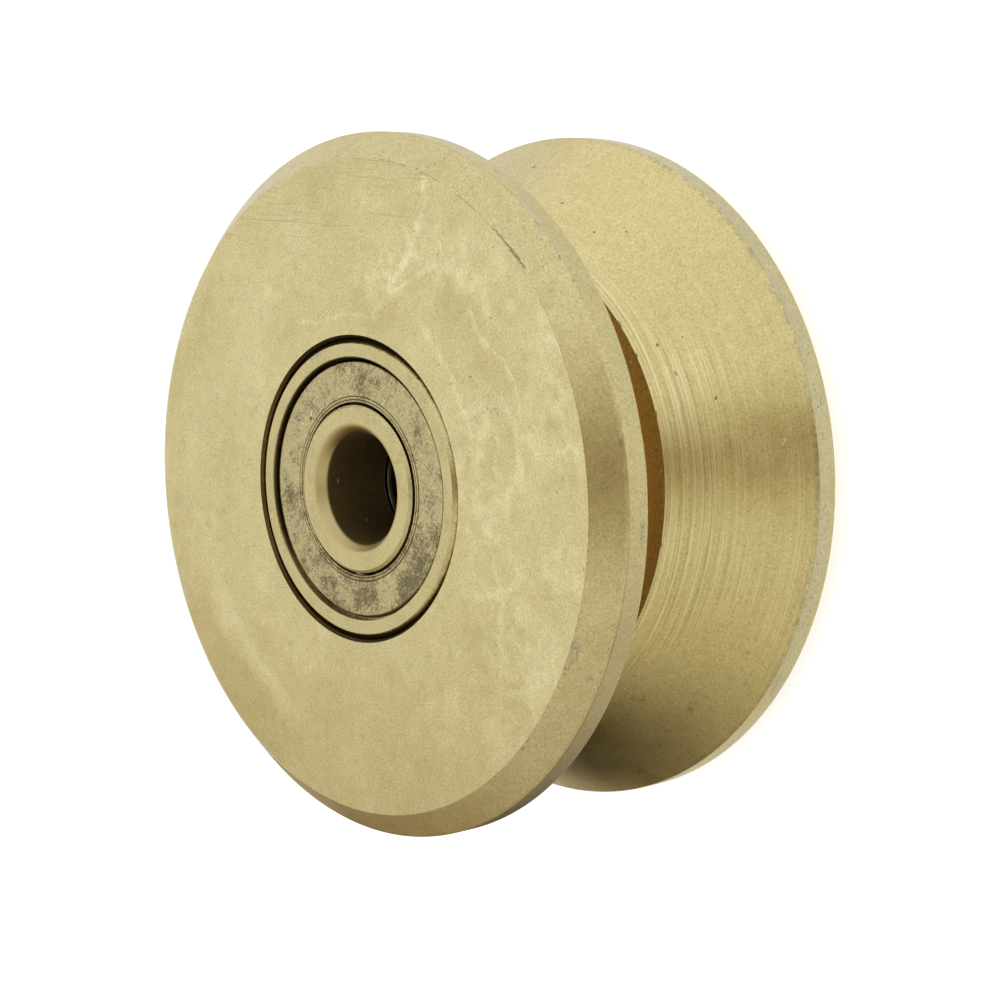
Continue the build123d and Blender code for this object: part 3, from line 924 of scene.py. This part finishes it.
def inner_ring_corners(side):
    """Outline of an inner ring, with its chamfered bore and the raceway outside."""
    corners = [
        (inner_shoulder_radius, half_bearing - inner_ring_chamfer, fine, plain),
        (inner_shoulder_radius - inner_ring_chamfer, half_bearing, fine, plain),
        (bore_radius + bore_chamfer, half_bearing, upper_bore_rounding, bore),
        (bore_radius, half_bearing - worn_bore_edge, lower_bore_rounding, bore),
        (bore_radius, -half_bearing + bore_chamfer, crisp, bore),
        (bore_radius + bore_chamfer, -half_bearing, crisp, plain),
        (inner_shoulder_radius - inner_ring_chamfer, -half_bearing, fine, gap),
        (inner_shoulder_radius, -half_bearing + inner_ring_chamfer, fine, gap),
    ]
    raceway_centre = pitch_radius - ball_radius - ball_play + raceway_radius
    return seated(corners + raceway_corners(raceway_centre, -1, inner_shoulder_radius), side)


for name, side in (("front", 1), ("back", -1)):
    outer_ring = turned(
        f"{name}_outer_ring_ground",
        outer_ring_corners(side),
        step=0.0012,
        angles=ring_angles,
        materials=ring_materials,
    )
    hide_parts(f"{name}_outer_ring")
    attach(outer_ring, "wheel")
    inner_ring = turned(
        f"{name}_inner_ring_ground",
        inner_ring_corners(side),
        step=0.0012,
        angles=ring_angles,
        materials=ring_materials,
    )
    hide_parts(f"{name}_inner_ring")
    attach(inner_ring, "fixed_rings")


# Outside shields
# Pressed sheet rings with a beaded inner edge, snapped into the outer rings. The plating on
# them is stained with dark grey patches and finely scribbled over.
shield_lip_radius = inner_shoulder_radius + 0.00027
shield_face_radius = shield_seat_radius - 0.0005
shield_face = ring_face - 0.0004
shield_foot_top = ring_face - shield_foot_height
outer_bead_line = 0.00983
outer_bead_crest = 0.00965
inner_bead_line = 0.00946
inner_bead_crest = 0.00929
bead_line_half_width = 0.00007


def shield_material():
    """Stained sheet: tan plating, clustered grey stains, and short scribbled scratches."""
    material, tree, (place, radius, degrees, height), colour, grain = satin_metal(
        "stained_shield", (0.50, 0.425, 0.22)
    )
    patches = noise(tree, place, 0.0032, 3.0, 0.6)
    stipple = noise(tree, place, 0.00026, 4.0, 0.8)
    upwards = maths(tree, "COSINE", product(tree, degrees, math.pi / 180))
    patches = maths(tree, "MULTIPLY_ADD", maths(tree, "ABSOLUTE", upwards), 0.07, patches)
    patches = maths(tree, "SUBTRACT", maths(tree, "MULTIPLY_ADD", upwards, -0.06, patches), 0.075)
    cluster_places = (
        (-8.0, 0.0118, 0.0036, 0.0030, 0),
        (-24.0, 0.0117, 0.0034, 0.0020, 0),
        (-62.0, 0.0119, 0.0044, 0.0022, 0),
        (-75.0, 0.0120, 0.0030, 0.0022, 0),
        (66.0, 0.0115, 0.0026, 0.0024, 0),
        (88.0, 0.0117, 0.0040, 0.0022, 0),
        (112.0, 0.0126, 0.0036, 0.0014, 0),
        (125.0, 0.0128, 0.0028, 0.0012, 0),
        (150.0, 0.0113, 0.0030, 0.0018, 0),
        (178.0, 0.0115, 0.0036, 0.0026, 0),
        (-150.0, 0.0122, 0.0050, 0.0028, 0),
        (-132.0, 0.0122, 0.0030, 0.0018, 0),
    )
    clusters = spots(tree, place, on_face(shield_face, cluster_places), ragged=0.0016, soft=0.1)
    patches = maths(tree, "MULTIPLY_ADD", clusters, 0.13, patches)
    stain = slide(tree, maths(tree, "MULTIPLY_ADD", patches, 0.8, stipple), 0.84, 1.04)
    colour = coat(tree, colour, (0.16, 0.13, 0.07), stain, 0.85)
    bent = pushed(tree, place, 0.0016, 0.0012)
    scribble = noise(tree, stretched(tree, bent, (1, 0.14, 1), 0.6), 0.00022, 2.0, 0.6)
    colour = coat(tree, colour, pale_gold, slide(tree, scribble, 0.57, 0.70, 0.0, 0.6))
    scribble_two = noise(tree, stretched(tree, bent, (1, 0.14, 1), -0.7), 0.0002, 2.0, 0.6)
    colour = coat(tree, colour, (0.16, 0.13, 0.08), slide(tree, scribble_two, 0.59, 0.70, 0.0, 0.6))
    # A painted glint, and beside it the painted shade of a small dent.
    glint = spots(tree, place, [(36.8, 0.0108, shield_face, 0.0008, 0.0004, 30)])
    colour = coat(tree, colour, (0.80, 0.73, 0.47), glint, 0.8)
    dent = spots(tree, place, [(39.6, 0.0105, shield_face, 0.0005, 0.0003, 20)], ragged=0.0003)
    colour = coat(tree, colour, (0.05, 0.04, 0.02), dent, 0.9)
    # Darker along the two pressed lines, broken up by the stipple.
    outer_line = slide(tree, off(tree, radius, outer_bead_line), 0.00010, 0.00003)
    inner_line = slide(tree, off(tree, radius, inner_bead_line), 0.00009, 0.00003)
    dark_bead_lines = maths(tree, "MAXIMUM", outer_line, inner_line)
    stipple_break = slide(tree, stipple, 0.3, 0.55, 0.5, 1.0)
    colour = coat(tree, colour, (0.06, 0.045, 0.02), dark_bead_lines, stipple_break, 0.85)
    # Painted shade: black where the sheet slopes down into the gap, stronger on the upper side.
    depth = depth_below_face(tree, height)
    upper = slide(tree, maths(tree, "ABSOLUTE", degrees), 98.0, 128.0, 1.0, 0.25)
    colour = coat(tree, colour, painted_shade_black, slide(tree, depth, 0.00052, 0.00075), upper)
    relief = product(tree, grain, 0.00001)
    relief = maths(tree, "MULTIPLY_ADD", scribble, 0.000012, relief)
    relief = maths(tree, "MULTIPLY_ADD", scribble_two, -0.000010, relief)
    roughness = slide(tree, stain, 0.0, 1.0, 0.36, 0.5)
    return finish(material, colour, relief, roughness)


def shield_corners(side):
    """Outline of an outside shield: flat face, sloped wall and foot, and two beads at the lip.

    One bead rises between two lines that are pressed in below the face, and a lower one between
    the inner line and the lip.
    """
    pressed = shield_face - 0.00004
    corners = [
        (shield_lip_radius, pressed, fine),
        (shield_lip_radius, shield_face - shield_thickness, fine),
        (shield_face_radius - shield_thickness, shield_face - shield_thickness, fine),
        (shield_face_radius, shield_foot_top - shield_thickness, fine),
        (shield_high.x, shield_foot_top - shield_thickness, fine),
        (shield_high.x, shield_foot_top, fine),
        (shield_face_radius + shield_thickness, shield_foot_top, fine),
        (shield_face_radius, shield_face, crisp),
        (outer_bead_line + bead_line_half_width, shield_face, fine),
        (outer_bead_line, pressed, 0.0),
        (outer_bead_line - bead_line_half_width, shield_face + 0.00003, 0.0),
        (outer_bead_crest, shield_face + 0.00008, fine),
        (inner_bead_line + bead_line_half_width, shield_face + 0.00003, 0.0),
        (inner_bead_line, pressed, 0.0),
        (inner_bead_line - bead_line_half_width, shield_face + 0.00001, 0.0),
        (inner_bead_crest, shield_face + 0.00004, fine),
    ]
    return [(radius, side * height, rounding, 0) for radius, height, rounding in corners]


stained_sheet = shield_material()
for name, side in (("front", 1), ("back", -1)):
    shield = turned(
        f"{name}_outside_shield_pressed",
        shield_corners(side),
        step=0.0008,
        angles=ring_angles,
        materials=(stained_sheet,),
    )
    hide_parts(f"{name}_outside_shield")
    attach(shield, "wheel")


# Pieces inside the wheel
# Inside shields like the outside ones, moulded polyamide cages, polished bearing balls and
# the drawn spacer tube between the two bearings. Nothing of them but the tube's end shows.
def plastic_material():
    """Natural polyamide: cream, slightly cloudy, with a soft mould grain."""
    material, tree, shader = new_material("cage_polyamide")
    place = lathe_place(tree)[0]
    clouds = noise(tree, place, 0.004, 3.0)
    colour = tint(tree, slide(tree, clouds, 0.3, 0.7), (0.66, 0.60, 0.44), (0.54, 0.48, 0.33))
    shader.inputs["Subsurface Weight"].default_value = 0.15
    shader.inputs["Subsurface Scale"].default_value = 0.0006
    relief = product(tree, noise(tree, place, 0.0002, 3.0), 0.000008)
    return finish(material, colour, relief, slide(tree, clouds, 0.3, 0.7, 0.42, 0.52))


def ball_material():
    """Polished bearing steel with the faintest run marks."""
    steel = (0.46, 0.45, 0.42)
    material, tree, (place, *_), _, grain = satin_metal("ball_bearing_steel", steel)
    film = noise(tree, place, 0.003, 3.0)
    colour = tint(tree, slide(tree, film, 0.45, 0.75, 0.2, 0.8), steel, (0.26, 0.22, 0.13))
    relief = product(tree, grain, 0.0000005)
    return finish(material, colour, relief, slide(tree, film, 0.3, 0.7, 0.16, 0.28))


def tube_material():
    """Drawn steel tube with an oily film and its lengthwise drawing marks."""
    material, tree, (place, radius, degrees, _), colour, _ = satin_metal(
        "spacer_drawn_steel", (0.34, 0.31, 0.26)
    )
    drawn = noise(tree, stretched(tree, place, (1, 1, 0.05)), 0.0003, 3.0)
    colour = coat(tree, colour, (0.16, 0.13, 0.09), slide(tree, drawn, 0.4, 0.7, 0.0, 0.5))
    # Painted shade: the tube is black deep in the bore, except a thin arc at its end on the left side
    # that keeps its own colour as the lit edge.
    edge = slide(tree, off(tree, radius, 0.00640), 0.00006, 0.00003)
    left_side = slide(tree, off(tree, degrees, 91.0), 23.0, 12.0, 0.06, 0.6)
    colour = tint(tree, product(tree, edge, left_side), (0.03, 0.022, 0.012), colour)
    relief = product(tree, drawn, 0.000008)
    return finish(material, colour, relief, slide(tree, drawn, 0.3, 0.7, 0.32, 0.45))


inside_finishes = (
    ("inside_shield", stained_sheet),
    ("cage", plastic_material()),
    ("_ball_", ball_material()),
    ("spacer_tube", tube_material()),
)
for node_name, node_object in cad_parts.items():
    for part_name, material in inside_finishes:
        if part_name in node_name:
            for material_slot in node_object.material_slots:
                material_slot.material = material


# Floor and light
# A plain pale floor under the back face, and a light tent around it. The tent has a darker
# opening where the camera looks in, and it and the floor darken towards the wheel's lower side.
floor_height = -half_width - 0.00002
floor_corners = [(x, y, floor_height) for x, y in ((-3, -3), (3, -3), (3, 3), (-3, 3))]
floor = new_piece("floor", floor_corners, [(0, 1, 2, 3)])


def emission(tree, colour, strength=1.0):
    """A surface that gives off light of its own."""
    node = tree.nodes.new("ShaderNodeEmission")
    fill(tree, node.inputs["Color"], colour)
    fill(tree, node.inputs["Strength"], strength)
    return node.outputs[0]


def either(tree, share, first, second):
    """The first surface, or the second by a share."""
    node = tree.nodes.new("ShaderNodeMixShader")
    for socket, value in zip(node.inputs, (share, first, second)):
        fill(tree, socket, value)
    return node.outputs[0]


def warmed(tree, level):
    """A grey level as a colour that goes warmer the darker it is."""
    node = tree.nodes.new("ShaderNodeCombineColor")
    fill(tree, node.inputs[0], maths(tree, "POWER", level, 0.8))
    fill(tree, node.inputs[1], level)
    fill(tree, node.inputs[2], maths(tree, "POWER", level, 1.4))
    return node.outputs[0]


floor_material, tree, shader = new_material("pale_floor")
shader.inputs["Base Color"].default_value = (0.85, 0.85, 0.85, 1)
shader.inputs["Roughness"].default_value = 0.9
rays = tree.nodes.new("ShaderNodeLightPath")
seen = maths(tree, "MAXIMUM", rays.outputs["Is Camera Ray"], rays.outputs["Is Transmission Ray"])
lit = tree.nodes.new("ShaderNodeAddShader")
tree.links.new(shader.outputs[0], lit.inputs[0])
tree.links.new(emission(tree, (1, 1, 1), product(tree, seen, 0.6)), lit.inputs[1])
floor_place = tree.nodes.new("ShaderNodeSeparateXYZ")
tree.links.new(tree.nodes.new("ShaderNodeTexCoord").outputs["Object"], floor_place.inputs[0])
lower = product(tree, maths(tree, "MAXIMUM", floor_place.outputs[1], 0.0), 0.35)
lower = maths(tree, "SUBTRACT", lower, floor_place.outputs[0])
mirrored = emission(tree, warmed(tree, slide(tree, lower, -0.01, 0.13, 0.95, 0.27)))
surface = either(tree, rays.outputs["Is Glossy Ray"], lit.outputs[0], mirrored)
tree.links.new(surface, tree.nodes["Material Output"].inputs["Surface"])
floor.data.materials.append(floor_material)

world = bpy.data.worlds.new("light_tent")
bpy.context.scene.world = world
world.use_nodes = True
tree = world.node_tree
background = tree.nodes["Background"]
direction = tree.nodes.new("ShaderNodeTexCoord").outputs["Generated"]


def towards(aim):
    """Cosine between the direction looked in and an aim."""
    node = tree.nodes.new("ShaderNodeVectorMath")
    node.operation = "DOT_PRODUCT"
    tree.links.new(direction, node.inputs[0])
    node.inputs[1].default_value = Vector(aim).normalized()
    return node.outputs["Value"]


sideways = off(tree, towards((1, 0, 0)), -0.03)
closed_beyond = math.cos(math.radians(44))
open_within = math.cos(math.radians(24))
around_camera = slide(tree, towards((0.0, -0.738, 0.674)), closed_beyond, open_within)
opening = product(tree, slide(tree, sideways, 0.33, 0.06), around_camera)
opening = maths(tree, "MULTIPLY_ADD", opening, -0.72, 1.0)
lower_side = slide(tree, towards((1, 0, 0)), -1.1, 0.0, 0.60, 1.04)
lower_corner = slide(tree, towards((-0.55, 0.80, -0.23)), 0.4, 1.1, 1.0, 0.4)
level = product(tree, opening, lower_side, lower_corner)
plain_grey = tree.nodes.new("ShaderNodeCombineColor")
for socket in plain_grey.inputs[:3]:
    fill(tree, socket, level)
rays = tree.nodes.new("ShaderNodeLightPath")
shown = tint(tree, rays.outputs["Is Glossy Ray"], plain_grey.outputs[0], warmed(tree, level))
shown = tint(tree, rays.outputs["Is Camera Ray"], shown, (1, 1, 1))
fill(tree, background.inputs["Color"], shown)
background.inputs["Strength"].default_value = 1.0
bpy.context.scene.view_settings.view_transform = "Standard"


# Flag
# A card beside the wheel that only reflections see, clear at one end and dark at the other. It
# darkens what the lower part of the groove mirrors.
flag_x = -0.047
flag_right, flag_left = -0.045, 0.035
flag_back, flag_front = -0.015, 0.014
flag_corners = [
    (flag_x, flag_right, flag_back),
    (flag_x, flag_left, flag_back),
    (flag_x, flag_left, flag_front),
    (flag_x, flag_right, flag_front),
]
flag = new_piece("dark_flag", flag_corners, [(0, 1, 2, 3)])
flag_material, tree, _ = new_material("graded_card")
flag_place = tree.nodes.new("ShaderNodeSeparateXYZ")
tree.links.new(tree.nodes.new("ShaderNodeTexCoord").outputs["Object"], flag_place.inputs[0])
darker_leftwards = slide(tree, flag_place.outputs[1], flag_right, 0.013, 0.0, 0.94)
clear_in_front = slide(tree, flag_place.outputs[2], 0.013, -0.002)
clear_behind = slide(tree, flag_place.outputs[2], flag_back, -0.0125)
cover = product(tree, darker_leftwards, clear_in_front, clear_behind)
clear = tree.nodes.new("ShaderNodeBsdfTransparent").outputs[0]
graded = either(tree, cover, clear, emission(tree, (0.016, 0.008, 0.002)))
tree.links.new(graded, tree.nodes["Material Output"].inputs["Surface"])
flag.data.materials.append(flag_material)
flag.visible_camera = False
flag.visible_diffuse = False
flag.visible_shadow = False
flag.visible_transmission = False
